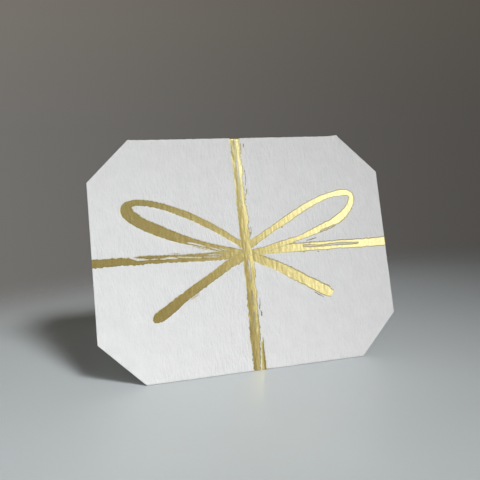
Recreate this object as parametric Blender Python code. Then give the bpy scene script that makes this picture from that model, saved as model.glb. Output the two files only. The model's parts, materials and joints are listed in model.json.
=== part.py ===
"""Folded tent card with a gold foil bow, as Blender objects in metres with +Z up.

One sheet of heavy paper is folded once and stands like a tent on its two cut edges. The
origin is on the table, midway between the two feet. +X runs along the fold, -Y is the way
the decorated front leaf faces. The back leaf turns about the fold, on the line X at
HINGE_HEIGHT. The foil is a brushed ribbon and bow on the front leaf, one object a stroke.
"""

from math import cos, pi, radians, sin

import bmesh
import bpy
from mathutils import Vector
from mathutils.geometry import interpolate_bezier, tessellate_polygon

MM = 0.001

# Driving dimensions: a 5 1/2 by 4 1/4 inch folded note card.
CARD_WIDTH = 139.7 * MM
CARD_HEIGHT = 107.95 * MM
CLIPPED_CORNER = 19.05 * MM
BACK_TOP_CLIP = 1.15 * CLIPPED_CORNER
SHEET = 0.5 * MM
TENT_ANGLE = radians(44)
CLOSED_GAP = 0.3 * MM
RUNNING_GAP = 0.3 * MM
FOIL = 0.05 * MM
FOIL_LIFT = 0.03 * MM
FOIL_GAP = 0.1 * MM
STEPS_PER_SPAN = 3

# What follows from them.
HALF_WIDTH = CARD_WIDTH / 2
LEAN = TENT_ANGLE / 2
INNER_FACE = CLOSED_GAP / 2
OUTER_FACE = INNER_FACE + SHEET
FOLD_RADIUS = OUTER_FACE
LEAF_TOP = -(FOLD_RADIUS + RUNNING_GAP)
CUT_EDGE = FOLD_RADIUS - CARD_HEIGHT
HINGE_HEIGHT = -CUT_EDGE * cos(LEAN) - INNER_FACE * sin(LEAN)
FOLD_LENGTH = CARD_WIDTH - 2 * CLIPPED_CORNER

PAPER = ("paper", (0.90, 0.90, 0.89), 0.85, 0.0)
GOLD = ("foil", (0.83, 0.72, 0.36), 0.32, 1.0)

# Foil strokes in millimetres: x from the card's centre, y up from the cut edge.
# A stroke is (x, y, width) along its middle, starting at the knot.
RIBBON_TOP = [(-1.2, 60.6, 5.0), (-1.1, 70, 5.3), (-1.4, 76, 4.7), (-1.5, 85, 4.3),
              (-1.5, 93, 4.5), (-1.4, 106.2, 5.0)]
RIBBON_BOTTOM = [(-0.8, 47.6, 5.2), (-0.7, 38, 4.6), (-0.6, 29, 4.9), (-0.9, 17, 5.1),
                 (-1.4, 9, 4.3), (-1.7, 0.1, 3.6)]
RIBBON_LEFT = [(-16.4, 52.6, 3.9), (-28, 53.0, 3.6), (-40, 53.4, 3.7), (-48, 53.4, 3.9),
               (-58, 53.4, 3.8), (-69.75, 53.4, 3.8)]
RIBBON_RIGHT = [(24.4, 53.9, 4.3), (34, 53.9, 4.3), (46, 53.9, 4.2), (58, 53.6, 4.4),
                (69.75, 53.9, 4.6)]
TAIL_LEFT = [(-10.0, 48.6, 4.1), (-16, 44.9, 4.1), (-24, 40.2, 4.0), (-32, 35.3, 4.3),
             (-38, 31.2, 4.8), (-42.6, 28.4, 5.0), (-44.7, 27.1, 3.8), (-45.8, 26.4, 1.6)]
TAIL_RIGHT = [(8.6, 48.0, 4.4), (13, 46.1, 4.5), (20, 41.9, 5.0), (28, 37.2, 5.0),
              (33, 34.2, 5.2), (36.6, 32.1, 5.0), (38.8, 30.9, 3.4)]
RIBBON_BOTTOM_EDGE = [(2.6, 14, 0.3), (2.2, 10, 1.1), (1.9, 6, 1.7), (1.65, 0.1, 2.2)]

# A loop is (outer x, outer y, inner x, inner y): its two edges turn at different rates.
LOOP_LEFT = [(-4.2, 59.7, -5.8, 57.3), (-12, 65.2, -12.8, 62.2), (-20, 70.3, -21, 67.2),
             (-28, 74.4, -29, 71.3), (-36, 77.6, -36.8, 74.8), (-44, 79.9, -44, 77.0),
             (-50, 80.5, -48.8, 77.7), (-54.4, 79.4, -50.9, 77.5), (-56.4, 76.4, -51.2, 76.5),
             (-55.2, 72.3, -50, 74.9), (-50, 68.1, -46, 71.9), (-42, 63.9, -40, 68.6),
             (-32, 59.9, -31, 64.1), (-24, 57.4, -23, 60.5), (-16.9, 56.0, -16.3, 58.4)]
LOOP_RIGHT = [(3.9, 60.4, 5.4, 57.6), (12, 65.0, 12.8, 62.0), (20, 69.6, 21, 66.2),
              (28, 74.0, 29, 70.7), (36, 77.4, 37, 74.6), (44, 79.8, 44.5, 77.1),
              (50, 80.9, 49.5, 77.6), (54.6, 79.6, 52.5, 77.2), (56.2, 76.2, 53.0, 76.0),
              (54.5, 71.4, 51.4, 72.9), (50.2, 66.5, 47.5, 69.6), (44, 62.8, 42, 66.4),
              (36, 60.1, 35, 63.5), (30, 58.4, 29.5, 61.3), (24.6, 57.2, 24.1, 59.3)]

# Where two strokes part, going round the knot anticlockwise from the right ribbon.
CROTCHES = {
    "ribbon_right": [(22.9, 56.5)],
    "loop_right_low": [(16, 57.5), (8, 55.5), (1.4, 54.8)],
    "loop_right_top": [(1.7, 58.7)],
    "ribbon_top": [(-3.5, 58.2)],
    "loop_left_top": [(-4.2, 55.7), (-9.5, 56.6)],
    "loop_left_low": [(-15.2, 55.0)],
    "ribbon_left": [(-9.8, 51.0)],
    "tail_left": [(-3.7, 49.2)],
    "ribbon_bottom": [(2.1, 48.6)],
    "tail_right": [(6.3, 51.5)],
}

# Loose bristle marks, foil islands beside the strokes, as (x, y, width).
HAIRS = {
    "foil_hair_top": [(2.55, 104.8, 0.3), (2.5, 104.0, 0.5), (2.5, 103.2, 0.3)],
    "foil_hair_bottom": [(2.95, 32.2, 0.25), (2.7, 29.5, 0.4), (2.3, 27.2, 0.25)],
    "foil_fleck_bottom": [(2.85, 26.4, 0.35), (3.1, 25.2, 0.6), (2.95, 24, 0.35)],
    "foil_hair_loop": [(28.6, 56.9, 0.25), (31, 57.2, 0.45), (33.8, 57.9, 0.25)],
    "foil_hair_tail_left": [(-29.2, 34.1, 0.25), (-27, 35.2, 0.4), (-25.2, 36.2, 0.25)],
    "foil_hair_tail_right": [(29.9, 32.3, 0.25), (32, 30.9, 0.4), (34.3, 29.6, 0.25)],
}


def clear_scene():
    for thing in list(bpy.data.objects):
        bpy.data.objects.remove(thing)


def material(name, colour, roughness, metallic):
    made = bpy.data.materials.new(name)
    made.use_nodes = True
    shader = made.node_tree.nodes["Principled BSDF"]
    shader.inputs["Base Color"].default_value = (*colour, 1)
    shader.inputs["Roughness"].default_value = roughness
    shader.inputs["Metallic"].default_value = metallic
    return made


def add_object(name, data, parent, finish):
    thing = bpy.data.objects.new(name, data)
    bpy.context.scene.collection.objects.link(thing)
    thing.parent = parent
    if data is not None:
        data.materials.append(material(name, *finish[1:]))
    return thing


def leaf_frame(name, facing):
    """An empty on the hinge line: X along the fold, Y up the leaf, Z out of its outer face."""
    frame = add_object(name, None, None, None)
    frame.location = (0, 0, HINGE_HEIGHT)
    frame.rotation_euler = (pi / 2 - LEAN, 0, facing)
    return frame


def raise_faces(shape, thickness):
    """Turns a flat patch of faces into a closed plate, growing along Z."""
    grown = bmesh.ops.extrude_face_region(shape, geom=shape.faces[:])["geom"]
    upper = [v for v in grown if isinstance(v, bmesh.types.BMVert)]
    bmesh.ops.translate(shape, verts=upper, vec=(0, 0, thickness))
    bmesh.ops.recalc_face_normals(shape, faces=shape.faces)


def plate(name, shape, thickness, parent, finish):
    raise_faces(shape, thickness)
    mesh = bpy.data.meshes.new(name)
    shape.to_mesh(mesh)
    shape.free()
    return add_object(name, mesh, parent, finish)


def leaf_outline(top_clip):
    """Half the card, an oblong clipped at its cut edge and, to a depth of top_clip, at its fold."""
    inset = HALF_WIDTH - CLIPPED_CORNER
    top_half = inset + (FOLD_RADIUS - LEAF_TOP) * CLIPPED_CORNER / top_clip
    shoulder = FOLD_RADIUS - top_clip
    right = [(inset, CUT_EDGE), (HALF_WIDTH, CUT_EDGE + CLIPPED_CORNER), (HALF_WIDTH, shoulder),
             (top_half, LEAF_TOP)]
    return right + [(-x, y) for x, y in reversed(right)]


def leaf(name, top_clip, frame):
    shape = bmesh.new()
    shape.faces.new([shape.verts.new((x, y, INNER_FACE)) for x, y in leaf_outline(top_clip)])
    return plate(name, shape, SHEET, frame, PAPER)


def fold_crease(frame):
    """The rounded fold itself, a bead on the hinge line that both leaves turn about."""
    shape = bmesh.new()
    bmesh.ops.create_cone(shape, cap_ends=True, segments=24, radius1=FOLD_RADIUS,
                          radius2=FOLD_RADIUS, depth=FOLD_LENGTH)
    mesh = bpy.data.meshes.new("fold_crease")
    shape.to_mesh(mesh)
    shape.free()
    mesh.shade_smooth()
    mesh.set_sharp_from_angle(angle=radians(40))
    crease = add_object("fold_crease", mesh, frame, PAPER)
    crease.rotation_euler = (0, pi / 2, 0)
    return crease


def on_leaf(x, y):
    """A place on the artwork in millimetres, in the leaf's own frame."""
    return Vector((x * MM, CUT_EDGE + y * MM, OUTER_FACE + FOIL_LIFT))


def smooth(points):
    """A smooth curve through the points, as a chain of Bezier spans."""
    padded = [2 * points[0] - points[1], *points, 2 * points[-1] - points[-2]]
    curve = []
    for before, start, end, after in zip(padded, padded[1:], padded[2:], padded[3:]):
        first_handle = start + (end - before) / 6
        last_handle = end - (after - start) / 6
        span = interpolate_bezier(start, first_handle, last_handle, end, STEPS_PER_SPAN + 1)
        curve += span[:-1]
    return curve + [points[-1]]


def stroke_edges(rows):
    """The left and right edges of a stroke given by its middle line and widths."""
    middle = smooth([on_leaf(x, y) for x, y, width in rows])
    widths = [v.x for v in smooth([Vector((width * MM, 0, 0)) for x, y, width in rows])]
    left, right = [], []
    for i, (point, width) in enumerate(zip(middle, widths)):
        along = middle[min(i + 1, len(middle) - 1)] - middle[max(i - 1, 0)]
        across = Vector((-along.y, along.x, 0)).normalized() * width / 2
        left.append(point + across)
        right.append(point - across)
    return left, right


def loop_edges(rows):
    outer = smooth([on_leaf(row[0], row[1]) for row in rows])
    inner = smooth([on_leaf(row[2], row[3]) for row in rows])
    return outer, inner


def foil_strip(name, edges, frame, slit=None):
    """A stroke between two edges. slit is (first, last, place, width): spans and shares."""
    shares = [0, 1]
    if slit:
        first, last, place, width = slit
        shares = [0, place - width / 2, place + width / 2, 1]
    shape = bmesh.new()
    rows = [[shape.verts.new(a.lerp(b, share)) for share in shares] for a, b in zip(*edges)]
    for i, (row, following) in enumerate(zip(rows, rows[1:])):
        for j in range(len(shares) - 1):
            if slit and j == 1 and first * STEPS_PER_SPAN <= i < last * STEPS_PER_SPAN:
                continue
            shape.faces.new([row[j], row[j + 1], following[j + 1], following[j]])
    return plate(name, shape, FOIL, frame, GOLD)


def foil_knot(ends, frame):
    """The blot where all strokes cross: its outline runs along their ends and crotches."""
    outline = []
    for stroke, (first, second, inwards) in ends.items():
        outline += [first + inwards * FOIL_GAP, second + inwards * FOIL_GAP]
        outline += [on_leaf(x, y) for x, y in CROTCHES[stroke]]
    shape = bmesh.new()
    verts = [shape.verts.new(point) for point in outline]
    for corners in tessellate_polygon([outline]):
        shape.faces.new([verts[i] for i in corners])
    return plate("foil_knot", shape, FOIL, frame, GOLD)


def end_of(edges, at_start=True):
    """A stroke's end at the knot: its two corners, anticlockwise, and the way inwards."""
    left, right = edges
    near, far = (0, 1) if at_start else (-1, -2)
    inwards = ((left[near] + right[near]) - (left[far] + right[far])).normalized()
    corners = (right[near], left[near]) if at_start else (left[near], right[near])
    return (*corners, inwards)


def foil(frame):
    strokes = {
        "ribbon_right": (stroke_edges(RIBBON_RIGHT), (0.6, 3, 0.45, 0.14)),
        "ribbon_top": (stroke_edges(RIBBON_TOP), (2, 4.6, 0.47, 0.1)),
        "ribbon_left": (stroke_edges(RIBBON_LEFT), (1.4, 3.7, 0.58, 0.18)),
        "ribbon_bottom": (stroke_edges(RIBBON_BOTTOM), (0.3, 1, 0.5, 0.1)),
        "tail_left": (stroke_edges(TAIL_LEFT), None),
        "tail_right": (stroke_edges(TAIL_RIGHT), None),
    }
    for name, (edges, slit) in strokes.items():
        foil_strip("foil_" + name, edges, frame, slit)
    loop_left, loop_right = loop_edges(LOOP_LEFT), loop_edges(LOOP_RIGHT)
    foil_strip("foil_loop_left", loop_left, frame)
    foil_strip("foil_loop_right", loop_right, frame)
    foil_strip("foil_ribbon_bottom_edge", stroke_edges(RIBBON_BOTTOM_EDGE), frame)
    for name, rows in HAIRS.items():
        foil_strip(name, stroke_edges(rows), frame)
    edges = {name: pair for name, (pair, slit) in strokes.items()}
    outer, inner = loop_right
    ends = {
        "ribbon_right": end_of(edges["ribbon_right"]),
        "loop_right_low": end_of((outer, inner), at_start=False),
        "loop_right_top": end_of((outer, inner)),
        "ribbon_top": end_of(edges["ribbon_top"]),
        "loop_left_top": end_of((loop_left[1], loop_left[0])),
        "loop_left_low": end_of((loop_left[1], loop_left[0]), at_start=False),
        "ribbon_left": end_of(edges["ribbon_left"]),
        "tail_left": end_of(edges["tail_left"]),
        "ribbon_bottom": end_of(edges["ribbon_bottom"]),
        "tail_right": end_of(edges["tail_right"]),
    }
    foil_knot(ends, frame)


def build():
    clear_scene()
    front_frame = leaf_frame("front_leaf_frame", 0)
    back_frame = leaf_frame("back_leaf_frame", pi)
    leaf("front_leaf", CLIPPED_CORNER, front_frame)
    leaf("back_leaf", BACK_TOP_CLIP, back_frame)
    fold_crease(front_frame)
    foil(front_frame)


build()
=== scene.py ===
"""Looks of the folded tent card with a gold foil bow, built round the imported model.

The card is one sheet of cotton paper. Every place on it is given by two numbers in
millimetres, as on the flat sheet before it was folded: x across from the middle, and s up
the outer face from the front cut edge, over the fold and down the back. on_sheet() turns
those, and a rise above the outer face, into a place in the row frame. The foil strokes use
the same numbers, so they follow the paper.
"""
import json
from math import cos, pi, radians, sin

import bmesh
import bpy
import numpy as np
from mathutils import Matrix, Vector


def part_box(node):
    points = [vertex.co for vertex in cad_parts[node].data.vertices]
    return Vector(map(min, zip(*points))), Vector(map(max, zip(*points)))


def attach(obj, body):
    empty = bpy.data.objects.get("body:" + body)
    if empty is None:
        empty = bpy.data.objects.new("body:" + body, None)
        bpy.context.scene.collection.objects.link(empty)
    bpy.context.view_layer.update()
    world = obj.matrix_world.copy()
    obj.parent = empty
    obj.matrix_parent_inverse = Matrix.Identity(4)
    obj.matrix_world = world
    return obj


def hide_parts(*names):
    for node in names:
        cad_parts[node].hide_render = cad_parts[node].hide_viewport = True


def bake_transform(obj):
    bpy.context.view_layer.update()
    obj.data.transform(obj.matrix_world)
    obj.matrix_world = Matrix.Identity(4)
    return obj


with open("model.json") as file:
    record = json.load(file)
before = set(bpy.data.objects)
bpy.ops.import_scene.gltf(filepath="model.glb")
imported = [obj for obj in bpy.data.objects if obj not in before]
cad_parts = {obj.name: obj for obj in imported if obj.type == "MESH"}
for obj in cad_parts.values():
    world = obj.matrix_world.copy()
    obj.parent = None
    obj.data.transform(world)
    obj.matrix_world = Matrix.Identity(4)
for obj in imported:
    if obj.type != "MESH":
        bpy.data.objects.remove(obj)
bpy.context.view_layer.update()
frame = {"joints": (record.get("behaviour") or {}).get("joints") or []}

MM = 0.001

# The sheet, in millimetres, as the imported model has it.
HINGE_HEIGHT = frame["joints"][0]["pos_m"][2] / MM
HALF_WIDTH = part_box("front_leaf")[1].x / MM
LEAN = radians(22)
CLIPPED_CORNER = 19.05
CARD_HEIGHT = 107.95
SHEET = 0.5
FOLD_RADIUS = 0.65

# What follows from them.
FACE_LENGTH = CARD_HEIGHT - FOLD_RADIUS
FOLD_TURN = pi - 2 * LEAN
FOLD_ARC = FOLD_RADIUS * FOLD_TURN
RIDGE = FACE_LENGTH + FOLD_ARC / 2
SHEET_LENGTH = 2 * RIDGE
FOLD_HALF_LENGTH = HALF_WIDTH - CLIPPED_CORNER
SHOULDER = FACE_LENGTH + FOLD_RADIUS - CLIPPED_CORNER
RIDGE_FLAT = FOLD_ARC / 2 - FOLD_RADIUS

# The back leaf's top corners are clipped deeper, so the front leaf hides them.
BACK_TOP_CLIP = 1.15 * CLIPPED_CORNER
BACK_SHOULDER = SHEET_LENGTH - FACE_LENGTH - FOLD_RADIUS + BACK_TOP_CLIP

# The paper's mesh: its step in front, how many of those make one step behind and inside, the
# rounding of its cut edges, how many rows go round the fold, and the angle from which an edge
# is shaded sharp.
FINE = 0.46
COARSE = 4
EDGE_ROUND = 0.07
FOLD_ROWS = 12
CREASE_ANGLE = radians(50)

# The felt's grain: its height, the half lengths of its marks across and up the sheet, and the
# broader marks with their share.
GRAIN_HEIGHT = 0.036
FELT_MARKS = (0.3, 1.1)
BROAD_MARKS = (0.7, 2.2)
BROAD_SHARE = 0.35

# The dent under the foil: its depth, how far its slope runs to either side of the foil's edge,
# and how much of the grain is pressed flat in it.
PRESS_DEPTH = 0.05
PRESS_OUTSIDE = 0.4
PRESS_INSIDE = 0.3
PRESSED_FLAT = 0.8

# The step of the relief maps, their margin round the sheet, and what says no stroke is near.
MAP_STEP = 0.25
MAP_MARGIN = 1
NO_STROKE = -9.0

# The score presses the fold flatter, within SCORE_REACH of the ridge. Its two ends flare: by
# how much, and over what length.
SCORE_FLAT = 0.16
SCORE_REACH = 0.75
FLARE_LEFT = 0.28
FLARE_LEFT_LENGTH = 2.2
FLARE_RIGHT = 0.58
FLARE_RIGHT_LENGTH = 2.6

# Foil strokes: the steps across and along them, the skin's thickness, its lift off the pressed
# paper, the lift of each layer over the last, and of the edges over the middle.
LANE = 0.2
ROW = 0.36
FOIL = 0.02
FOIL_LIFT = 0.022
LAYER = 0.004
RIM = 0.004

# Their ragged edges: how often they turn, the half lengths of their fine teeth, the shares of
# both, and the most of the width that they take.
TURN_STEP = 3.0
TEETH = (0.2, 0.2)
TURN_SHARE = 0.5
TEETH_SHARE = 1.5
MOST_RAGGED = 0.3

# Where the foil is painted darker, for wear and as painted shade. Strands of so few lanes are
# all edge. Wider strokes are darkened at their edge and, by these levels, on the next lanes
# inwards.
# Their sides begin at this share of the way out from the middle.
THIN_LANES = 3
INNER_LEVELS = (0.75, 0.3)
SIDE_FROM = 0.7

# How dark an edge is painted, for wear and as painted shade: the way that the sides with the
# most painted shade face, where the pressed walls turn from the key light, the darkening at the
# card's middle, the painted shade that such a side adds and the other takes off, the length to
# the right over which the darkening grows by 1, and the least of it. Strands have no sides, and
# their own darkening, length and least.
UP_RIGHT = (0.55, 0.83)
EDGE_WEAR_AND_SHADE = 0.55
SIDE_PAINTED_SHADE = 0.45
WEAR_AND_SHADE_LENGTH = 200
LEAST_WEAR_AND_SHADE = 0.3
STRAND_WEAR_AND_SHADE = 0.8
STRAND_WEAR_AND_SHADE_LENGTH = 12
LEAST_STRAND_WEAR_AND_SHADE = 0.4

# Where the darkening, wear and painted shade, sets in, and over what length: to the right, away
# from the knot, and near the crest, where it also paints shade over the fold's glint.
WEAR_AND_SHADE_RIGHT = (4, 22)
KNOT_CENTRE = (-0.8, 54)
WEAR_AND_SHADE_FROM_KNOT = (2, 8)
WEAR_AND_SHADE_AT_CREST = (FACE_LENGTH - 0.9, 0.6)

# Tones of the paper, the foil and the table, as places on a ramp of noise and colours.
PAPER_TONES = [(0.3, (0.690, 0.660, 0.649)), (0.7, (0.725, 0.694, 0.683))]
FOIL_TONES = [(0.28, (0.73, 0.59, 0.22)), (0.5, (0.84, 0.70, 0.305)),
              (0.74, (0.92, 0.82, 0.45))]
# The foil's darkest colour, for wear and painted shade on its edges and over the crest.
FOIL_WORN_AND_SHADED = (0.14, 0.10, 0.036, 1)
TABLE_TONES = [(0.3, (0.466, 0.480, 0.484)), (0.7, (0.495, 0.509, 0.513))]

# The table: half its size, how far it lies under the card's feet, and where along Y it starts
# and ends to fade. At the left it fades sooner: between these X, by from 0.03 m to nothing.
TABLE_HALF = 1.5
TABLE_DROP = 0.00002
TABLE_FADE = (0.03, 0.155)
LEFT_FADE = (-0.16, -0.05, 0.03, 0)

# The room's wall, from left to right, and how its colour changes from the table's level to
# overhead; and the spans of the directions' X and Z that these run over.
WALL_ACROSS = (-0.15, 0.65)
WALL_UP = (-0.3, 0.7)
WALL = [(0, (0.178, 0.164, 0.145)), (1, (0.086, 0.077, 0.066))]
WALL_HEIGHT = [(0.25, (0.94, 0.98, 1.05)), (0.5, (1.08, 1.08, 1.05)),
               (0.65, (0.88, 0.88, 0.83)), (1.0, (0.33, 0.33, 0.32))]

# The lit part of the room that the gold mirrors, in front of the card. It starts to show and
# shows in full at these Y of a direction. Its colours run along MIRRORED_WAY, from the dim
# left to the window at the right, over this span; each is given at the X of a direction whose
# Z is MIRRORED_MIDDLE. Then how much of it shows, and how much paler it is, at each height.
MIRRORED_FRONT = (-0.35, -0.6)
MIRRORED_WAY = (1, 0, 0.35)
MIRRORED_SPAN = (0.05, 0.75)
MIRRORED_MIDDLE = 0.42
MIRRORED = [(-0.08, (0.33, 0.305, 0.235)), (0.17, (0.36, 0.33, 0.25)),
            (0.21, (0.43, 0.40, 0.31)), (0.25, (0.50, 0.47, 0.38)),
            (0.28, (0.62, 0.60, 0.50)), (0.31, (0.77, 0.76, 0.68)),
            (0.335, (0.94, 0.95, 0.91)), (0.38, (1.33, 1.43, 1.60)),
            (0.45, (1.45, 1.58, 1.92)), (0.6, (1.10, 1.18, 1.32))]
MIRRORED_HEIGHT = [(0.05, 0), (0.2, 1), (0.45, 1), (0.61, 0.9), (0.67, 0)]
MIRRORED_PALER = [(0.5, (1, 1, 1)), (0.61, (1.2, 1.34, 1.7))]

# The camera: its place in metres, how far it looks down and turns to the right, and the
# length of its lens and width of its film in millimetres.
CAMERA_PLACE = (-0.06579, -0.24564, 0.11825)
CAMERA_DOWN = radians(14.999)
CAMERA_RIGHT = radians(15.289)
CAMERA_LENS = 39.75
CAMERA_FILM = 36

# Stroke tables in millimetres on the sheet: (x, s, width) along the middle.
RIBBON_TOP = [(-1.0, 60.6, 5.0), (-1.25, 65, 4.7), (-1.0, 69, 5.1), (-1.2, 73, 4.8),
              (-1.4, 78, 4.4), (-1.3, 82, 4.6), (-1.6, 86, 4.2), (-1.5, 90, 4.5),
              (-1.45, 94, 4.7), (-1.5, 98, 4.8), (-1.35, 102, 5.0), (-1.5, 107, 4.9),
              (-1.5, 108.3, 4.9)]
RIBBON_BOTTOM = [(-0.75, 51.5, 4.8), (-0.7, 48.6, 5.1), (-0.55, 44, 5.3), (-0.75, 40, 4.5),
                 (-0.9, 38, 4.3), (-0.7, 35.5, 4.9), (-0.75, 30, 4.7), (-0.9, 24, 4.8),
                 (-1.0, 18, 5.0), (-1.2, 14, 4.9), (-1.35, 10, 4.1), (-1.3, 6, 3.8),
                 (-1.6, 2, 3.3), (-1.7, 0.0, 3.2)]
RIBBON_LEFT = [(0, 52.6, 4.0), (-6, 52.8, 4.2), (-14, 52.8, 4.0), (-22, 52.75, 3.7),
               (-30, 52.9, 3.5), (-38, 53.2, 3.5), (-44, 53.4, 3.8), (-49, 53.4, 4.0),
               (-53, 53.3, 3.6), (-58, 53.4, 3.6), (-69.85, 53.4, 3.8)]
RIBBON_RIGHT = [(0, 52.7, 3.8), (7, 53.5, 3.6), (14, 53.8, 4.0), (24.4, 53.9, 4.2),
                (34, 53.9, 4.2), (46, 53.9, 4.2), (58, 53.7, 4.4), (69.85, 53.9, 4.6)]
TAIL_LEFT = [(1.0, 53.4, 4.0), (-4, 51.3, 4.2), (-10, 48.5, 4.1), (-16, 44.9, 4.1),
             (-24, 40.2, 4.0), (-32, 35.3, 4.3), (-38, 31.2, 4.8), (-42.6, 28.4, 5.0),
             (-44.7, 27.1, 3.8), (-45.8, 26.4, 1.6)]
TAIL_RIGHT = [(-1.0, 52.8, 3.8), (4, 50.2, 4.2), (8.6, 48.0, 4.4), (13, 46.1, 4.5),
              (20, 41.9, 5.0), (28, 37.2, 5.0), (33, 34.2, 5.2), (36.6, 32.1, 5.0),
              (38.9, 30.8, 3.3)]
BOTTOM_SLIVER = [(2.4, 14.2, 0.4), (2.1, 12, 0.9), (1.75, 9, 1.4), (1.85, 6, 1.8),
                 (1.7, 3, 2.0), (1.6, 0.0, 2.1)]
KNOT = [(-1.0, 61.2, 4.9), (-0.9, 57.5, 4.8), (-0.8, 54, 4.7), (-0.8, 52, 4.8),
        (-0.7, 50.0, 5.0)]

# A loop is (outer x, outer s, inner x, inner s): its two edges turn at different rates.
LOOP_LEFT = [(1.0, 57.0, -1.5, 54.0), (-4.2, 59.7, -5.8, 57.3), (-12, 65.2, -12.8, 62.2),
             (-20, 70.3, -21, 67.2), (-28, 74.4, -29, 71.3), (-36, 77.6, -36.8, 74.8),
             (-44, 79.9, -44, 77.0), (-50, 80.5, -48.8, 77.7), (-54.4, 79.4, -50.9, 77.5),
             (-56.4, 76.4, -51.2, 76.5), (-55.2, 72.3, -50, 74.9), (-50, 68.1, -46, 71.9),
             (-42, 63.9, -40, 68.6), (-32, 59.9, -31, 64.1), (-24, 57.9, -23, 60.7),
             (-16.9, 55.6, -16.3, 58.5), (-10, 53.4, -9.7, 56.6), (-4, 52.2, -4, 55.0),
             (1, 51.5, 1, 54.3)]
LOOP_RIGHT = [(-1.5, 57.2, -1.0, 53.5), (0.5, 58.5, 1.2, 54.8), (3.9, 60.4, 5.4, 57.6),
              (12, 65.0, 12.8, 62.0), (20, 69.6, 21, 66.2), (28, 74.0, 29, 70.7),
              (36, 77.4, 37, 74.6), (44, 79.8, 44.5, 77.1), (50, 80.9, 49.5, 77.6),
              (54.6, 79.6, 52.5, 77.2), (56.2, 76.2, 53.0, 76.0), (54.5, 71.4, 51.4, 72.9),
              (50.2, 66.5, 47.5, 69.6), (44, 62.8, 42, 66.4), (36, 60.1, 35, 63.5),
              (30, 58.4, 29.5, 61.3), (24.0, 56.8, 24.1, 59.2), (16, 54.6, 16, 57.6),
              (8, 52.9, 8, 55.5), (2, 52.0, 2, 54.7), (-1, 51.6, -1, 54)]

# Loose bristle marks beside the strokes.
HAIR_TOP = [(2.55, 104.9, 0.3), (2.5, 104.0, 0.5), (2.5, 103.1, 0.3)]
HAIR_BOTTOM = [(2.95, 32.4, 0.25), (2.7, 29.5, 0.4), (2.25, 27.0, 0.25)]
FLECK_BOTTOM = [(2.7, 26.5, 0.4), (3.05, 25.2, 0.65), (2.9, 23.9, 0.35)]
HAIR_LOOP = [(28.6, 56.9, 0.25), (31, 57.2, 0.5), (33.8, 57.9, 0.25)]
HAIR_TAIL_LEFT = [(-29.2, 34.1, 0.25), (-27, 35.2, 0.45), (-25.2, 36.2, 0.25)]
HAIR_TAIL_RIGHT = [(29.9, 32.3, 0.25), (32, 30.9, 0.45), (34.3, 29.6, 0.25)]

# Bristle strands that touch a stroke, drawn as strokes of their own in the same piece.
TOP_BRISTLES = [[(1.75, 92.2, 0.2), (1.95, 88, 0.35), (1.5, 84.6, 0.2)],
                [(2.05, 83.6, 0.25), (1.8, 81.8, 0.45), (1.3, 80.2, 0.3)],
                [(2.05, 65.2, 0.25), (1.95, 63, 0.45), (1.5, 60.8, 0.4)]]
LEFT_FLECKS = [[(-36.4, 55.5, 0.3), (-34.4, 55.3, 0.45), (-32, 55.0, 0.35)]]
LOOP_LEFT_BRISTLES = [[(-26.0, 58.0, 0.3), (-22.8, 57.1, 0.5), (-20.5, 56.3, 0.45),
                       (-18.5, 55.6, 0.25)]]
RIGHT_FLECKS = [[(26.6, 51.6, 0.3), (27.3, 51.6, 0.3)],
                [(33.7, 51.3, 0.3), (34.5, 51.3, 0.35)],
                [(38.5, 51.5, 0.3), (39.3, 51.5, 0.4)]]
LOOP_RIGHT_FLECKS = [[(53.7, 70.6, 0.3), (54.5, 70.7, 0.45)],
                     [(31, 75.9, 0.3), (31.9, 75.8, 0.3)],
                     [(41.2, 79.9, 0.3), (42.2, 79.7, 0.3)],
                     [(16.8, 63.9, 0.3), (17.6, 64.1, 0.35)]]

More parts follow.
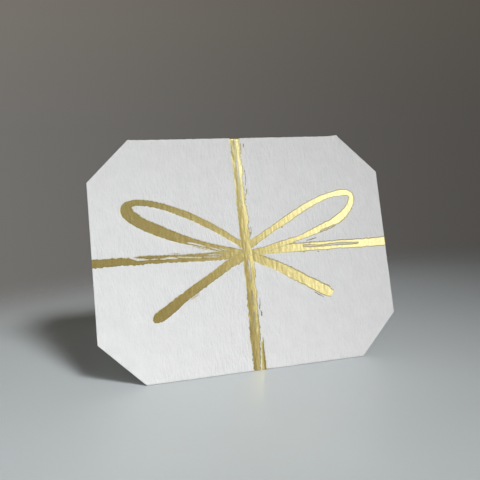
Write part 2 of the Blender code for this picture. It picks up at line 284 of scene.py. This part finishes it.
# Slits where the brush ran dry and the paper shows, as (x, s, width) along each.
GAPS = {
    "ribbon_top": [
        [(-1.3, 75.2, 0.2), (-1.35, 80, 0.25), (-1.35, 85, 0.3), (-1.4, 90, 0.5),
         (-1.5, 95, 0.6), (-1.75, 99, 0.35), (-1.7, 103, 0.25), (-1.35, 107.6, 0.2)],
        [(0.5, 98.5, 0.15), (0.65, 102, 0.25), (0.8, 107.6, 0.2)]],
    "ribbon_bottom": [
        [(-0.5, 50.4, 0.4), (-0.45, 48, 0.7), (-0.4, 45, 0.45), (-0.4, 42, 0.2),
         (-0.4, 40, 0.15)],
        [(-0.55, 35.5, 0.15), (-0.4, 32.5, 0.26), (-0.35, 31, 0.26), (-0.2, 29, 0.15)],
        [(-0.2, 26.0, 0.15), (-0.4, 22.5, 0.24), (-0.6, 20, 0.22), (-0.65, 17, 0.15)]],
    "ribbon_left": [
        [(-54.2, 55.2, 0.4), (-52.6, 54.5, 0.7), (-51, 54.0, 0.9), (-49.5, 53.8, 0.85),
         (-48, 53.65, 0.65), (-46.5, 53.5, 0.35), (-45.5, 53.45, 0.2)],
        [(-45, 53.5, 0.2), (-43.5, 53.5, 0.35), (-42, 53.45, 0.2)],
        [(-40.8, 53.2, 0.2), (-39, 53.3, 0.5), (-36.5, 53.5, 0.65), (-34, 53.2, 0.5),
         (-32.8, 53.0, 0.3)],
        [(-33, 53.6, 0.25), (-30, 53.3, 0.3), (-26, 52.9, 0.25), (-22.5, 52.6, 0.25)],
        [(-21, 52.9, 0.2), (-18, 52.6, 0.25), (-14, 52.3, 0.2)],
        [(-19, 53.6, 0.2), (-15, 53.3, 0.25), (-12.5, 53.0, 0.2)]],
    "ribbon_right": [
        [(27, 54.6, 0.25), (29, 54.3, 0.5), (31.5, 54.2, 0.5), (33.5, 54.0, 0.3),
         (36.5, 53.95, 0.25), (40, 54.15, 0.5), (44, 54.2, 0.75), (48, 54.1, 0.75),
         (52, 53.95, 0.45), (55.2, 53.95, 0.2)]],
    "loop_left": [
        [(-27.8, 59.7, 0.3), (-26, 59.3, 0.5), (-24, 58.75, 0.55), (-22, 58.1, 0.45),
         (-20.3, 57.5, 0.25)],
        [(-18, 57.0, 0.2), (-15, 55.9, 0.4), (-12.5, 55.0, 0.2)],
        [(-13.5, 56.2, 0.2), (-11.5, 55.3, 0.3), (-9.5, 54.6, 0.2)]],
    "loop_right": [
        [(36.5, 60.8, 0.2), (39, 61.6, 0.3), (41.5, 62.3, 0.3), (44, 63.4, 0.2)],
        [(22.2, 56.5, 0.2), (23.4, 56.7, 0.3), (24.2, 57.0, 0.2)]],
}

# Piece: its strokes, how ragged its left and right edges are, its layer, and how far its
# middle stands above its edges, all in millimetres but the layer.
STROKES = {
    "ribbon_left": ([RIBBON_LEFT, *LEFT_FLECKS], 0.09, 0.11, 0, 0),
    "ribbon_right": ([RIBBON_RIGHT, *RIGHT_FLECKS], 0.08, 0.07, 0, 0),
    "loop_left": ([LOOP_LEFT, *LOOP_LEFT_BRISTLES], 0.06, 0.09, 1, 0),
    "loop_right": ([LOOP_RIGHT, *LOOP_RIGHT_FLECKS], 0.08, 0.07, 1, 0),
    "tail_left": ([TAIL_LEFT], 0.10, 0.08, 2, 0),
    "tail_right": ([TAIL_RIGHT], 0.10, 0.07, 2, 0),
    "ribbon_top": ([RIBBON_TOP, *TOP_BRISTLES], 0.11, 0.13, 3, 0.05),
    "ribbon_bottom": ([RIBBON_BOTTOM], 0.12, 0.12, 3, 0.06),
    "knot": ([KNOT], 0.10, 0.12, 4, 0.03),
    "ribbon_bottom_edge": ([BOTTOM_SLIVER], 0.06, 0.06, 3, -0.03),
    "hair_top": ([HAIR_TOP], 0.03, 0.03, 3, 0),
    "hair_bottom": ([HAIR_BOTTOM], 0.03, 0.03, 3, 0),
    "fleck_bottom": ([FLECK_BOTTOM], 0.05, 0.05, 3, 0),
    "hair_loop": ([HAIR_LOOP], 0.04, 0.04, 3, 0),
    "hair_tail_left": ([HAIR_TAIL_LEFT], 0.04, 0.04, 3, 0),
    "hair_tail_right": ([HAIR_TAIL_RIGHT], 0.04, 0.04, 3, 0),
}

# ---------------------------------------------------------------- places on the sheet

def on_sheet(x, s, rise):
    """Places in the row frame, in metres, for arrays of places on the sheet."""
    x, s, rise = np.broadcast_arrays(*(np.asarray(v, float) for v in (x, s, rise)))
    turned = np.clip((s - FACE_LENGTH) / FOLD_ARC, 0, 1) * FOLD_TURN - FOLD_TURN / 2
    out_y = np.sin(turned)
    out_z = np.cos(turned)
    below = np.minimum(s - FACE_LENGTH, 0)
    beyond = np.maximum(s - FACE_LENGTH - FOLD_ARC, 0)
    y = out_y * (FOLD_RADIUS + rise) + (below + beyond) * sin(LEAN)
    z = HINGE_HEIGHT + out_z * (FOLD_RADIUS + rise) + (below - beyond) * cos(LEAN)
    return np.stack([x, y, z], -1) * MM


def half_width(s):
    """Half the sheet's width at s: the corners are clipped at the cut edges and the fold."""
    from_cut = np.minimum(s, SHEET_LENGTH - s)
    from_ridge = np.maximum(np.abs(s - RIDGE) - RIDGE_FLAT, 0)
    from_ridge = np.where(s > RIDGE, from_ridge * CLIPPED_CORNER / BACK_TOP_CLIP, from_ridge)
    return np.minimum(HALF_WIDTH, FOLD_HALF_LENGTH + np.minimum(from_cut, from_ridge))


# ---------------------------------------------------------------- stroke curves

def smooth_rows(rows, steps=24):
    """A Catmull-Rom curve through rows of numbers, each span in even steps."""
    rows = np.array(rows, float)
    padded = np.vstack([2 * rows[0] - rows[1], rows, 2 * rows[-1] - rows[-2]])
    t = np.linspace(0, 1, steps, endpoint=False)[:, None]
    spans = []
    for a, b, c, d in zip(padded, padded[1:], padded[2:], padded[3:]):
        spans.append(0.5 * (2 * b + (c - a) * t + (2 * a - 5 * b + 4 * c - d) * t ** 2
                            + (3 * b - a - 3 * c + d) * t ** 3))
    return np.vstack([*spans, rows[-1:]])


def evenly(rows, middle, step):
    """The same curve at even steps along its middle line."""
    run = np.r_[0, np.cumsum(np.linalg.norm(np.diff(middle, axis=0), axis=1))]
    places = np.linspace(0, run[-1], max(int(run[-1] / step), 2) + 1)
    return np.stack([np.interp(places, run, column) for column in rows.T], 1), places


def stroke_sides(table, step):
    """The two sides of a stroke, and how far along it each row is."""
    rows = smooth_rows(table)
    if rows.shape[1] == 4:
        even, along = evenly(rows, (rows[:, :2] + rows[:, 2:]) / 2, step)
        return even[:, :2], even[:, 2:], along
    even, along = evenly(rows, rows[:, :2], step)
    direction = np.gradient(even[:, :2], axis=0)
    direction /= np.linalg.norm(direction, axis=1)[:, None]
    across = np.stack([-direction[:, 1], direction[:, 0]], 1) * even[:, 2:] / 2
    return even[:, :2] + across, even[:, :2] - across, along


# ---------------------------------------------------------------- relief maps of the paper

MAP_X = np.arange(-HALF_WIDTH - MAP_MARGIN, HALF_WIDTH + MAP_MARGIN + MAP_STEP, MAP_STEP)
MAP_S = np.arange(-MAP_MARGIN, SHEET_LENGTH + MAP_MARGIN + MAP_STEP, MAP_STEP)


def read_map(values, x, s):
    """The map's values at places on the sheet, blended between its grid points."""
    i = np.clip((s - MAP_S[0]) / MAP_STEP, 0, len(MAP_S) - 1.001)
    j = np.clip((x - MAP_X[0]) / MAP_STEP, 0, len(MAP_X) - 1.001)
    i0, j0 = i.astype(int), j.astype(int)
    di, dj = i - i0, j - j0
    return ((values[i0, j0] * (1 - dj) + values[i0, j0 + 1] * dj) * (1 - di)
            + (values[i0 + 1, j0] * (1 - dj) + values[i0 + 1, j0 + 1] * dj) * di)


def felt_grain(across, along, seed):
    """Soft noise of unit spread with marks of those half lengths across and up the sheet."""
    noise = np.random.RandomState(seed).normal(size=(len(MAP_S), len(MAP_X)))
    up = np.fft.fftfreq(len(MAP_S), MAP_STEP)[:, None]
    over = np.fft.rfftfreq(len(MAP_X), MAP_STEP)[None, :]
    kept = np.exp(-2 * (pi * up * along) ** 2 - 2 * (pi * over * across) ** 2)
    made = np.fft.irfft2(np.fft.rfft2(noise) * kept, s=noise.shape)
    return made / made.std()


def reach_map():
    """How far each place is inside the nearest stroke, negative outside it."""
    reach = np.full((len(MAP_S), len(MAP_X)), NO_STROKE)
    for tables, _, _, _, _ in STROKES.values():
        for table in tables:
            left, right, _ = stroke_sides(table, 2 * MAP_STEP)
            middle = (left + right) / 2
            half = np.linalg.norm(left - right, axis=1) / 2
            for (x, s), radius in zip(middle, half):
                margin = radius + PRESS_OUTSIDE + MAP_STEP
                rows = slice(*np.searchsorted(MAP_S, [s - margin, s + margin]))
                columns = slice(*np.searchsorted(MAP_X, [x - margin, x + margin]))
                away = np.hypot(MAP_S[rows][:, None] - s, MAP_X[columns][None, :] - x)
                reach[rows, columns] = np.maximum(reach[rows, columns], radius - away)
    return reach


def relief_map():
    """The outer face's height in millimetres: the felt's grain, pressed down under the foil."""
    t = np.clip((reach_map() + PRESS_OUTSIDE) / (PRESS_OUTSIDE + PRESS_INSIDE), 0, 1)
    pressed = t * t * (3 - 2 * t)
    grain = felt_grain(*FELT_MARKS, seed=3) + BROAD_SHARE * felt_grain(*BROAD_MARKS, seed=4)
    return GRAIN_HEIGHT * grain * (1 - PRESSED_FLAT * pressed) - PRESS_DEPTH * pressed


RELIEF = relief_map()
RAGGED = felt_grain(*TEETH, seed=5)


def fold_swell(x, s):
    """The fold's ends flare where the score stops pressing them, and its middle is flatter."""
    near = np.exp(-((s - RIDGE) / SCORE_REACH) ** 2)
    left = np.exp(-np.maximum(FOLD_HALF_LENGTH + x, 0) / FLARE_LEFT_LENGTH)
    right = np.exp(-np.maximum(FOLD_HALF_LENGTH - x, 0) / FLARE_RIGHT_LENGTH)
    return near * (FLARE_LEFT * left + FLARE_RIGHT * right - SCORE_FLAT)


# ---------------------------------------------------------------- mesh of the paper

def mesh_object(name, places, faces, uv, material):
    """A shaded object from places in metres, with a UV map in millimetres on the sheet."""
    mesh = bpy.data.meshes.new(name)
    mesh.from_pydata(places.tolist(), [], faces)
    corners = np.empty(len(mesh.loops), int)
    mesh.loops.foreach_get("vertex_index", corners)
    layer = mesh.uv_layers.new(name="sheet")
    layer.data.foreach_set("uv", uv[corners].astype(np.float32).ravel())
    mesh.materials.append(material)
    mesh.shade_smooth()
    made = bpy.data.objects.new(name, mesh)
    bpy.context.scene.collection.objects.link(made)
    return made


def steps_between(start, end, step):
    """Even steps from the start up to the end, which is left out."""
    count = max(round((end - start) / step), 1)
    return list(np.linspace(start, end, count, endpoint=False))


def sheet_rows():
    """Where the sheet's rows lie: fine on the front and round the fold, coarse behind."""
    front = [0.0]
    front += steps_between(EDGE_ROUND, CLIPPED_CORNER, FINE)
    front += steps_between(CLIPPED_CORNER, SHOULDER, FINE)
    front += steps_between(SHOULDER, FACE_LENGTH, FINE)
    fold = steps_between(FACE_LENGTH, FACE_LENGTH + FOLD_ARC, FOLD_ARC / FOLD_ROWS)
    step = FINE * COARSE
    lower_clip = SHEET_LENGTH - CLIPPED_CORNER
    back = steps_between(FACE_LENGTH + FOLD_ARC, BACK_SHOULDER, step)
    back += steps_between(BACK_SHOULDER, lower_clip, step)
    back += steps_between(lower_clip, SHEET_LENGTH - EDGE_ROUND, step)
    back += [SHEET_LENGTH - EDGE_ROUND, SHEET_LENGTH]
    return front + fold + [back[0]], back[1:]


def sheet_row(s, cells, columns, outside):
    """One row's places and its marks on the flat sheet, on the outer or the inner face."""
    width = half_width(s)
    inner = np.linspace(-1, 1, cells + 1) * (width - EDGE_ROUND)
    x = np.r_[-width, inner, width][columns]
    flat = np.full(len(x), s)
    if outside:
        rise = read_map(RELIEF, x, flat) + fold_swell(x, s)
        rise[[0, -1]] -= EDGE_ROUND
        if s in (0.0, SHEET_LENGTH):
            rise -= EDGE_ROUND
    else:
        rise = np.full(len(x), -SHEET)
    return on_sheet(x, s, rise), np.stack([x, flat], 1)


def stitch(longer, shorter, kept):
    """Faces between two chains of vertices; kept says which of the longer one match."""
    faces = []
    for j in range(len(shorter) - 1):
        reach = longer[kept[j]:kept[j + 1] + 1]
        faces.append([shorter[j], shorter[j + 1], *reach[::-1]])
    return faces


def sheet_faces(fine, coarse, inside, kept_rows, kept_columns):
    """The faces between numbered rows of vertices: outer face, inner face and cut edges."""
    faces = []
    for low, high in [*zip(fine, fine[1:]), *zip(coarse, coarse[1:]), *zip(inside, inside[1:])]:
        faces += [list(corners) for corners in zip(low, low[1:], high[1:], high)]
    faces += stitch(fine[-1], coarse[0], kept_columns)
    faces += stitch(fine[0], inside[0], kept_columns)
    faces += [list(c) for c in zip(coarse[-1], coarse[-1][1:], inside[-1][1:], inside[-1])]
    outer = fine + coarse
    kept_outer = kept_rows + list(range(len(fine), len(outer)))
    for side in (0, -1):
        outer_edge = [row[side] for row in outer]
        inner_edge = [row[side] for row in inside]
        faces += stitch(outer_edge, inner_edge, kept_outer)
    return faces


def face_outwards(mesh):
    """Turns all faces of a closed mesh outwards."""
    shape = bmesh.new()
    shape.from_mesh(mesh)
    bmesh.ops.recalc_face_normals(shape, faces=shape.faces)
    shape.to_mesh(mesh)
    shape.free()


def paper_card(material):
    """The whole sheet as one closed mesh, fine where the foil is pressed in."""
    fine_rows, coarse_rows = sheet_rows()
    cells = COARSE * round(HALF_WIDTH * 2 / FINE / COARSE)
    every_column = np.arange(cells + 3)
    kept_columns = [0, *range(1, cells + 2, COARSE), cells + 2]
    corner_rows = [i for i, s in enumerate(fine_rows)
                   if min(abs(s - CLIPPED_CORNER), abs(s - SHOULDER)) < 1e-6]
    last = len(fine_rows) - 1
    kept_rows = sorted({0, 1, *corner_rows, *range(1, last + 1, COARSE), last})
    places, marks = [], []

    def add_rows(rows, columns, outside):
        numbered = []
        for s in rows:
            row_places, row_marks = sheet_row(s, cells, columns, outside)
            start = sum(len(row) for row in places)
            places.append(row_places)
            marks.append(row_marks)
            numbered.append(list(range(start, start + len(row_places))))
        return numbered

    fine = add_rows(fine_rows, every_column, True)
    coarse = add_rows(coarse_rows, kept_columns, True)
    inside_rows = [fine_rows[i] for i in kept_rows] + coarse_rows
    inside = add_rows(inside_rows, kept_columns, False)
    faces = sheet_faces(fine, coarse, inside, kept_rows, kept_columns)
    made = mesh_object("paper_card", np.vstack(places), faces, np.vstack(marks), material)
    face_outwards(made.data)
    made.data.set_sharp_from_angle(angle=CREASE_ANGLE)
    return made


# ---------------------------------------------------------------- meshes of the foil

def wander(along, length, amount, chance):
    """A seeded ragged line: values at random, every so often, joined along the stroke."""
    knots = np.arange(along[0] - length, along[-1] + 2 * length, length)
    return np.interp(along, knots, chance.normal(0, amount, len(knots)))


def dry_cells(centres, gaps):
    """Which cells of a stroke lie in one of the slits."""
    dry = np.zeros(centres.shape[:2], bool)
    for gap in gaps:
        rows = smooth_rows(gap)
        even, _ = evenly(rows, rows[:, :2], LANE / 2)
        for x, s, width in even:
            dry |= np.hypot(centres[..., 0] - x, centres[..., 1] - s) < width / 2
    return dry


def near_sides(kept):
    """How near each corner of a stroke's cells is to the foil's edge: 1 on it, 0 well inside."""
    padded = np.pad(kept, 1)
    padded[0] = padded[1]
    padded[-1] = padded[-2]
    inside = padded[:-1, :-1] & padded[1:, :-1] & padded[:-1, 1:] & padded[1:, 1:]
    near = np.where(inside, 0.0, 1.0)
    for level in INNER_LEVELS:
        beside = np.pad(inside, ((0, 0), (1, 1)))
        deeper = inside & beside[:, :-2] & beside[:, 2:]
        near[inside & ~deeper] = level
        inside = deeper
    return near


def setting_in(value, start, length):
    """Rises from 0 at the start to 1 that length further on."""
    return np.clip((value - start) / length, 0, 1)


def edge_shade(near, left, right, x, s):
    """How dark the foil is painted, for wear and as painted shade: most on upper and right
    edges, and over the fold.
    """
    if near.shape[1] - 1 <= THIN_LANES:
        return near * np.clip(STRAND_WEAR_AND_SHADE + x / STRAND_WEAR_AND_SHADE_LENGTH, LEAST_STRAND_WEAR_AND_SHADE, 1)
    outward = (left - right) / np.linalg.norm(left - right, axis=1)[:, None]
    facing = outward @ UP_RIGHT
    share = np.linspace(1, -1, near.shape[1])[None, :]
    # Edges that face up and right, away from the key light, get painted shade; those facing down
    # and left get less.
    side = facing[:, None] * np.sign(share) * (np.abs(share) > SIDE_FROM)
    worn_and_shaded = np.clip(EDGE_WEAR_AND_SHADE + SIDE_PAINTED_SHADE * side + x / WEAR_AND_SHADE_LENGTH, LEAST_WEAR_AND_SHADE, 1)
    worn_and_shaded = near * np.maximum(worn_and_shaded, setting_in(x, *WEAR_AND_SHADE_RIGHT))
    from_knot = np.hypot(x - KNOT_CENTRE[0], s - KNOT_CENTRE[1])
    worn_and_shaded *= setting_in(from_knot, *WEAR_AND_SHADE_FROM_KNOT)
    # Over the crest the foil is painted dark: painted shade over its glint, and wear of the
    # crease.
    return np.maximum(worn_and_shaded, setting_in(s, *WEAR_AND_SHADE_AT_CREST))


def stroke_grid(left, right, along, left_ragged, right_ragged, chance):
    """Points of a stroke's grid on the sheet, and their shares of the way across it."""
    width = np.linalg.norm(left - right, axis=1)
    lanes = max(int(round(width.max() / LANE)), 2)
    sides = []
    for side, ragged in ((left, left_ragged), (right, right_ragged)):
        turns = wander(along, TURN_STEP, TURN_SHARE * ragged, chance)
        teeth = read_map(RAGGED, side[:, 0], side[:, 1])
        sides.append(turns + TEETH_SHARE * ragged * teeth)
    limit = MOST_RAGGED * width
    start = np.clip(sides[0], -limit, limit) / width
    end = 1 - np.clip(sides[1], -limit, limit) / width
    share = np.linspace(0, 1, lanes + 1)[None, :]
    across = start[:, None] + (end - start)[:, None] * share
    return left[:, None] + (right - left)[:, None] * across[..., None], across


def grid_faces(points, kept):
    """The faces of a grid's kept cells, turned so that they look outwards."""
    index = np.arange(points[..., 0].size).reshape(points.shape[:2])
    corners = [index[:-1, :-1], index[1:, :-1], index[1:, 1:], index[:-1, 1:]]
    faces = np.stack([c[kept] for c in corners], 1)
    first, second, third = (points.reshape(-1, 2)[faces[0, k]] for k in range(3))
    if np.cross(second - first, third - first) < 0:
        return faces[:, ::-1]
    return faces


def stroke_mesh(table, left_ragged, right_ragged, layer, crown, gaps, chance):
    """Places, faces, UVs and painted wear and shade of one brush stroke, a grid of lanes with
    slits in it.
    """
    left, right, along = stroke_sides(table, ROW)
    points, across = stroke_grid(left, right, along, left_ragged, right_ragged, chance)
    centres = (points[:-1, :-1] + points[1:, :-1] + points[:-1, 1:] + points[1:, 1:]) / 4
    kept = ~dry_cells(centres, gaps)
    x, s = points[..., 0], points[..., 1]
    near = near_sides(kept) if kept.shape[1] > THIN_LANES else np.ones(x.shape)
    rise = read_map(RELIEF, x, s) + FOIL_LIFT + LAYER * layer + RIM * near + fold_swell(x, s)
    rise = rise + crown * (1 - (2 * across - 1) ** 2)
    places = on_sheet(x, s, rise).reshape(-1, 3)
    width = np.linalg.norm(left - right, axis=1)
    uv = np.stack([np.broadcast_to(along[:, None], x.shape), across * width[:, None]], -1)
    shade = edge_shade(near, left, right, x, s)
    return places, grid_faces(points, kept), uv.reshape(-1, 2), shade.ravel()


def sharpen_open_edges(mesh):
    """Keeps the shading of a thin skin's face apart from that of its rim."""
    sides = np.empty(len(mesh.loops), int)
    mesh.loops.foreach_get("edge_index", sides)
    used = np.bincount(sides, minlength=len(mesh.edges))
    sharp = mesh.attributes.new("sharp_edge", "BOOLEAN", "EDGE")
    sharp.data.foreach_set("value", used == 1)


def foil_piece(name, material):
    """One foil piece: its strokes as thin closed skins, lying on the pressed paper."""
    tables, left_ragged, right_ragged, layer, crown = STROKES[name]
    gaps = GAPS.get(name, [])
    chance = np.random.RandomState(sum(map(ord, name)))
    places, faces, uvs, shades, count = [], [], [], [], 0
    for table in tables:
        made = stroke_mesh(table, left_ragged, right_ragged, layer, crown, gaps, chance)
        places.append(made[0])
        faces.append(made[1] + count)
        uvs.append(made[2])
        shades.append(made[3])
        count += len(made[0])
    used, renumbered = np.unique(np.vstack(faces), return_inverse=True)
    faces = renumbered.reshape(-1, 4).tolist()
    places, uvs, shades = np.vstack(places)[used], np.vstack(uvs)[used], np.hstack(shades)[used]
    made = mesh_object("gold_" + name, places, faces, uvs, material)
    # The edge attribute holds the painted wear and shade that darken the foil.
    edge = made.data.attributes.new("edge", "FLOAT", "POINT")
    edge.data.foreach_set("value", shades)
    sharpen_open_edges(made.data)
    skin = made.modifiers.new("skin", "SOLIDIFY")
    skin.thickness = FOIL * MM
    skin.offset = -1
    return made


# ---------------------------------------------------------------- materials

class Nodes:
    """A small helper that adds and links shader nodes."""

    def __init__(self, tree):
        self.tree = tree

    def fill(self, node, **inputs):
        """Links or sets a node's inputs; an underscore stands for a space in their names."""
        for key, value in inputs.items():
            socket = node.inputs[key.replace("_", " ")]
            if isinstance(value, bpy.types.NodeSocket):
                self.tree.links.new(value, socket)
            else:
                socket.default_value = value

    def add(self, kind, settings=None, **inputs):
        node = self.tree.nodes.new("ShaderNode" + kind)
        for key, value in (settings or {}).items():
            setattr(node, key, value)
        self.fill(node, **inputs)
        return node

    def noise(self, vector, scale, detail=3.0, roughness=0.55):
        return self.add("TexNoise", Vector=vector, Scale=scale, Detail=detail,
                        Roughness=roughness).outputs["Fac"]

    def stretched(self, vector, x, y):
        return self.add("Mapping", Vector=vector, Scale=(x, y, 1)).outputs["Vector"]

    def split(self, vector):
        return self.add("SeparateXYZ", Vector=vector).outputs

    def ramp(self, value, stops):
        node = self.add("ValToRGB", Fac=value)
        points = node.color_ramp.elements
        while len(points) < len(stops):
            points.new(0.5)
        for point, (place, colour) in zip(points, stops):
            point.position = place
            point.color = (*colour, 1)
        return node.outputs["Color"]

    def spread(self, value, low, high, to_low, to_high, shape="LINEAR"):
        """Maps a range of values to another, and keeps to it beyond its ends."""
        node = self.add("MapRange", {"interpolation_type": shape}, Value=value, From_Min=low,
                        From_Max=high, To_Min=to_low, To_Max=to_high)
        return node.outputs["Result"]

    def worked(self, operation, first, second):
        node = self.add("Math", {"operation": operation})
        self.tree.links.new(first, node.inputs[0])
        self.tree.links.new(second, node.inputs[1])
        return node.outputs["Value"]

    def mixed(self, first, second, share, kind="RGBA"):
        node = self.add("Mix", {"data_type": kind}, Factor=share, A=first, B=second)
        return node.outputs["Result"]

    def tinted(self, colour, tint):
        node = self.add("Mix", {"data_type": "RGBA", "blend_type": "MULTIPLY"}, Factor=1.0,
                        A=colour, B=tint)
        return node.outputs["Result"]

    def bump(self, height, distance, normal=None):
        node = self.add("Bump", Height=height, Distance=distance, Strength=1.0)
        if normal is not None:
            self.tree.links.new(normal, node.inputs["Normal"])
        return node.outputs["Normal"]


def new_material(name):
    made = bpy.data.materials.new(name)
    made.use_nodes = True
    return made, Nodes(made.node_tree), made.node_tree.nodes["Principled BSDF"]


def paper_material():
    """White cotton paper: soft upright felt marks, fine fibres and a faint mottle."""
    made, nodes, shader = new_material("cotton_paper")
    sheet = nodes.add("UVMap", {"uv_map": "sheet"}).outputs["UV"]
    marks = nodes.noise(nodes.stretched(sheet, 1.5, 0.4), scale=1.0, detail=3.0)
    fibres = nodes.noise(nodes.stretched(sheet, 2.6, 0.8), scale=1.0, detail=4.0, roughness=0.65)
    mottle = nodes.noise(sheet, scale=0.16, detail=3.0)
    upright = nodes.bump(marks, 0.42 * MM)
    nodes.fill(shader, Base_Color=nodes.ramp(mottle, PAPER_TONES),
               Roughness=nodes.spread(fibres, 0.3, 0.7, 0.78, 0.92),
               Normal=nodes.bump(fibres, 0.12 * MM, upright),
               Specular_IOR_Level=0.3, Sheen_Weight=0.05)
    return made


def foil_material():
    """Gold hot-stamped foil: the paper's upright marks, faint brush streaks, and edges painted
    darker for wear and shade.
    """
    made, nodes, shader = new_material("gold_foil")
    stroke = nodes.add("UVMap", {"uv_map": "sheet"}).outputs["UV"]
    place = nodes.add("TexCoord").outputs["Object"]
    edge = nodes.add("Attribute", {"attribute_name": "edge"}).outputs["Fac"]
    streaks = nodes.noise(nodes.stretched(stroke, 0.25, 3.2), scale=1.0, roughness=0.6)
    marks = nodes.noise(nodes.stretched(place, 2600, 700), scale=1.0, roughness=0.6)
    patches = nodes.noise(nodes.stretched(stroke, 0.35, 0.6), scale=1.0, detail=2.0)
    tone = nodes.mixed(streaks, marks, 0.6, "FLOAT")
    # Painted wear and shade: the edge attribute mixes the foil towards its darkest colour.
    worn_and_shaded = nodes.spread(edge, 0, 1, 0, 0.9)
    satin = nodes.spread(patches, 0.3, 0.7, 0.14, 0.22)
    worn_satin = nodes.worked("ADD", satin, nodes.spread(edge, 0, 1, 0, 0.32))
    upright = nodes.bump(marks, 0.006 * MM)
    nodes.fill(shader, Base_Color=nodes.mixed(nodes.ramp(tone, FOIL_TONES), FOIL_WORN_AND_SHADED, worn_and_shaded),
               Roughness=worn_satin, Normal=nodes.bump(streaks, 0.012 * MM, upright),
               Metallic=1.0)
    return made


def table_material():
    """Pale satin table top, which fades into the plain background far from the card."""
    made, nodes, shader = new_material("table_top")
    place = nodes.add("TexCoord").outputs["Object"]
    clouds = nodes.noise(place, scale=9.0, detail=3.0)
    nodes.fill(shader, Base_Color=nodes.ramp(clouds, TABLE_TONES),
               Roughness=nodes.spread(clouds, 0.3, 0.7, 0.30, 0.38))
    parts = nodes.split(place)
    depth = nodes.worked("ADD", parts["Y"], nodes.spread(parts["X"], *LEFT_FADE))
    shown = nodes.spread(depth, *TABLE_FADE, 1, 0, shape="SMOOTHERSTEP")
    clear = nodes.add("BsdfTransparent").outputs["BSDF"]
    faded = nodes.add("MixShader", Fac=shown)
    nodes.tree.links.new(clear, faded.inputs[1])
    nodes.tree.links.new(shader.outputs["BSDF"], faded.inputs[2])
    nodes.fill(made.node_tree.nodes["Material Output"], Surface=faded.outputs["Shader"])
    return made


# ---------------------------------------------------------------- stage, light and camera

def floor():
    mesh = bpy.data.meshes.new("floor")
    shape = bmesh.new()
    bmesh.ops.create_grid(shape, x_segments=4, y_segments=4, size=TABLE_HALF)
    shape.to_mesh(mesh)
    shape.free()
    mesh.materials.append(table_material())
    made = bpy.data.objects.new("floor", mesh)
    made.location.z = -TABLE_DROP
    bpy.context.scene.collection.objects.link(made)


def wall_colour(nodes, parts):
    """The grey room: dimmer to the right, and overhead."""
    wall = nodes.ramp(nodes.spread(parts["X"], *WALL_ACROSS, 0, 1), WALL)
    overhead = nodes.ramp(nodes.spread(parts["Z"], *WALL_UP, 0, 1), WALL_HEIGHT)
    return nodes.tinted(wall, overhead)


def mirrored_stops():
    """The mirrored colours with their places on a ramp over MIRRORED_SPAN."""
    start, end = MIRRORED_SPAN
    lift = MIRRORED_WAY[2] * MIRRORED_MIDDLE
    return [((x + lift - start) / (end - start), colour) for x, colour in MIRRORED]


def mirrored_colour(nodes, direction, parts):
    """The lit part of the room: its colour, and how much of it shows in each direction."""
    way = nodes.add("VectorMath", {"operation": "DOT_PRODUCT"})
    nodes.tree.links.new(direction, way.inputs[0])
    way.inputs[1].default_value = MIRRORED_WAY
    along = nodes.spread(way.outputs["Value"], *MIRRORED_SPAN, 0, 1)
    mirrored = nodes.ramp(along, mirrored_stops())
    mirrored = nodes.tinted(mirrored, nodes.ramp(parts["Z"], MIRRORED_PALER))
    levels = [(place, (level, level, level)) for place, level in MIRRORED_HEIGHT]
    front = nodes.spread(parts["Y"], *MIRRORED_FRONT, 0, 1)
    return mirrored, nodes.worked("MULTIPLY", nodes.ramp(parts["Z"], levels), front)


def world_light():
    """A plain grey room, with the lit part of it that the gold mirrors in front of the card."""
    world = bpy.data.worlds.new("room")
    bpy.context.scene.world = world
    world.use_nodes = True
    nodes = Nodes(world.node_tree)
    direction = nodes.add("TexCoord").outputs["Generated"]
    parts = nodes.split(direction)
    mirrored, share = mirrored_colour(nodes, direction, parts)
    room = nodes.mixed(wall_colour(nodes, parts), mirrored, share)
    nodes.fill(world.node_tree.nodes["Background"], Color=room)


def area_light(name, place, towards, size, spread, power, colour):
    data = bpy.data.lights.new(name, "AREA")
    data.shape = "DISK"
    data.size = size
    data.spread = spread
    data.energy = power
    data.color = colour
    made = bpy.data.objects.new(name, data)
    made.location = place
    made.rotation_euler = (Vector(towards) - Vector(place)).to_track_quat("-Z", "Y").to_euler()
    bpy.context.scene.collection.objects.link(made)


def lights():
    """A soft pool of light from above the right, and a faint fill from the low left."""
    area_light("key", place=(0.39, -0.56, 0.93), towards=(-0.048, -0.11, 0), size=0.44,
               spread=radians(23), power=0.487, colour=(0.96, 1.0, 1.015))
    area_light("fill", place=(-0.36, -0.25, 0.05), towards=(-0.03, -0.02, 0.05), size=0.12,
               spread=radians(120), power=0.24, colour=(0.88, 1.0, 1.0))


def camera():
    data = bpy.data.cameras.new("camera")
    data.sensor_width = CAMERA_FILM
    data.lens = CAMERA_LENS
    data.clip_start = 0.01
    made = bpy.data.objects.new("camera", data)
    made.location = CAMERA_PLACE
    made.rotation_euler = (pi / 2 - CAMERA_DOWN, 0, -CAMERA_RIGHT)
    bpy.context.scene.collection.objects.link(made)
    bpy.context.scene.camera = made


# ---------------------------------------------------------------- the card

def build_card():
    """The sheet and the foil strokes: all strokes but the top ribbon, which crosses the fold,
    ride the front leaf.
    """
    card = paper_card(paper_material())
    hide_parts("front_leaf", "fold_crease", "back_leaf")
    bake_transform(card)
    gold = foil_material()
    for name in STROKES:
        piece = foil_piece(name, gold)
        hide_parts("foil_" + name)
        if name == "ribbon_top":
            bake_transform(piece)
        else:
            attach(piece, "front")


bpy.context.scene.view_settings.view_transform = "Standard"
camera()
lights()
world_light()
floor()
build_card()
